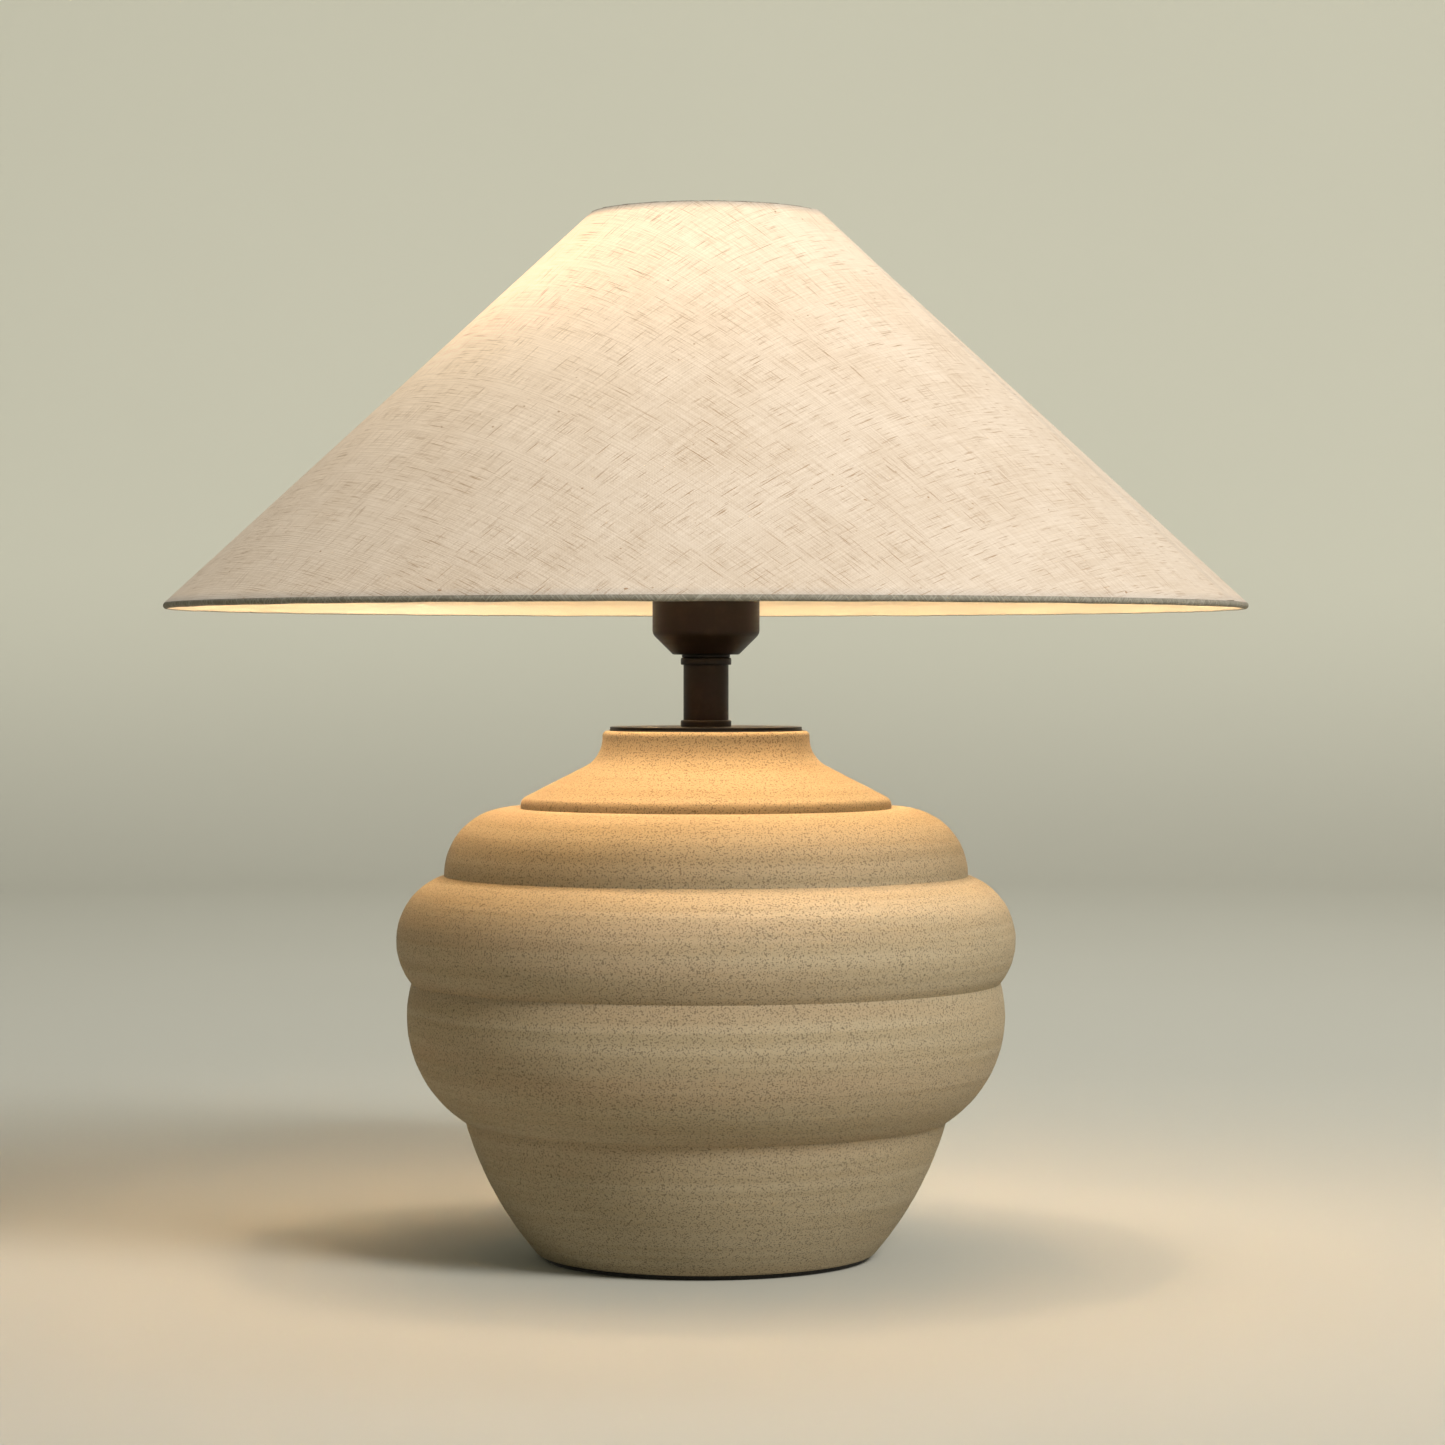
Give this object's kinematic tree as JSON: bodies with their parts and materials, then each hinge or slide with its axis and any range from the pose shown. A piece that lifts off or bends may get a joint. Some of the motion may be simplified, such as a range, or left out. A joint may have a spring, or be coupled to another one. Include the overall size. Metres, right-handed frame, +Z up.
{
  "type": "table lamp",
  "caption": "Table lamp with a ribbed round stoneware body, short dark metal stem, screw lampholder and a wide slubbed linen cone shade held on a wire spider by a clamp ring.",
  "frame": {"origin": "centre of the underside of the pad that the lamp stands on", "axes": "+Z up along the threaded rod, +Y to the back, where the cord inlet is, +X to the right seen from the front"},
  "size_m": [0.4499, 0.45, 0.4362],
  "materials": {
    "black_felt": "dense matt felt",
    "stoneware": "unglazed, sandy, finely speckled",
    "black_rubber": "matt",
    "zinc_steel": "bright zinc plate",
    "dark_bronze": "satin dark bronze",
    "brass": "bright",
    "porcelain": "glazed",
    "nickel_plate": "nickel plate",
    "black_thermoset": "moulded, satin",
    "white_wire": "white powder coat",
    "lining_film": "stiff translucent sheet",
    "natural_linen": "slubbed plain weave, undyed",
    "black_glass": "glossy",
    "opal_glass": "opal",
    "clear_glass": "clear",
    "led_phosphor": "phosphor coat"
  },
  "bodies": {
    "lamp": {"base_pad": "black_felt", "ceramic_body": "stoneware", "cord_grommet": "black_rubber", "base_rubber_washer": "black_rubber", "neck_gasket": "black_rubber", "base_steel_washer": "zinc_steel", "base_spring_washer": "zinc_steel", "base_nut": "zinc_steel", "threaded_rod": "zinc_steel", "holder_nut": "zinc_steel", "terminal_screws": "zinc_steel", "neck_cap": "dark_bronze", "stem_lower_collar": "dark_bronze", "stem_tube": "dark_bronze", "stem_upper_collar": "dark_bronze", "holder_cup": "dark_bronze", "earth_tag": "brass", "terminal_blocks": "brass", "centre_contact": "brass", "holder_insert": "porcelain", "screw_shell": "nickel_plate", "holder_skirt": "black_thermoset"},
    "shade": {"shade_hub": "white_wire", "shade_arms": "white_wire", "bottom_rim_wire": "white_wire", "top_rim_wire": "white_wire", "shade_lining": "lining_film", "shade_linen": "natural_linen", "bottom_hem": "natural_linen", "top_hem": "natural_linen"},
    "clamp_ring": {"shade_ring": "black_thermoset"},
    "bulb": {"bulb_cap": "nickel_plate", "bulb_insulator": "black_glass", "bulb_contact": "nickel_plate", "bulb_glass": "opal_glass", "bulb_stem": "clear_glass", "led_filaments": "led_phosphor"}
  },
  "joints": [
    {"name": "shade_turn", "type": "hinge", "parent": "lamp", "child": "shade", "pos_m": [0, 0, 0.29], "axis": [0, 0, 1], "continuous": true},
    {"name": "ring_unscrew", "type": "hinge", "parent": "lamp", "child": "clamp_ring", "pos_m": [0, 0, 0.294], "axis": [0, 0, 1], "range_deg": [0, 1080]},
    {"name": "bulb_unscrew", "type": "hinge", "parent": "lamp", "child": "bulb", "pos_m": [0, 0, 0.3], "axis": [0, 0, 1], "range_deg": [0, 1260]}
  ]
}
